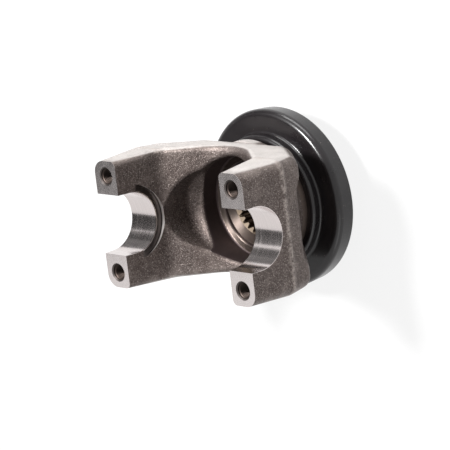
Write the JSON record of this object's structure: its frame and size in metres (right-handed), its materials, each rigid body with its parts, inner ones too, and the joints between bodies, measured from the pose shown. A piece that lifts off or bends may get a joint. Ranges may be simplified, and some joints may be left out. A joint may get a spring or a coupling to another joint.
{
  "type": "driveline end yoke",
  "caption": "Forged steel end yoke for a truck universal joint: half-round bearing saddles with bolt pads, splined hub and pressed-on dust deflector.",
  "frame": {"origin": "centre of the hub's rear end face, which the part stands on", "axes": "+Z along the spline axis from the hub to the ears; X along the common axis of the two saddles; +Y completes the right-handed frame"},
  "size_m": [0.1718, 0.1472, 0.1498],
  "materials": {
    "forging": "shot-blasted forged steel, machined faces bright",
    "deflector": "gloss black coating"
  },
  "bodies": {
    "root": {"end_yoke": "forging", "dust_deflector": "deflector"}
  },
  "joints": []
}
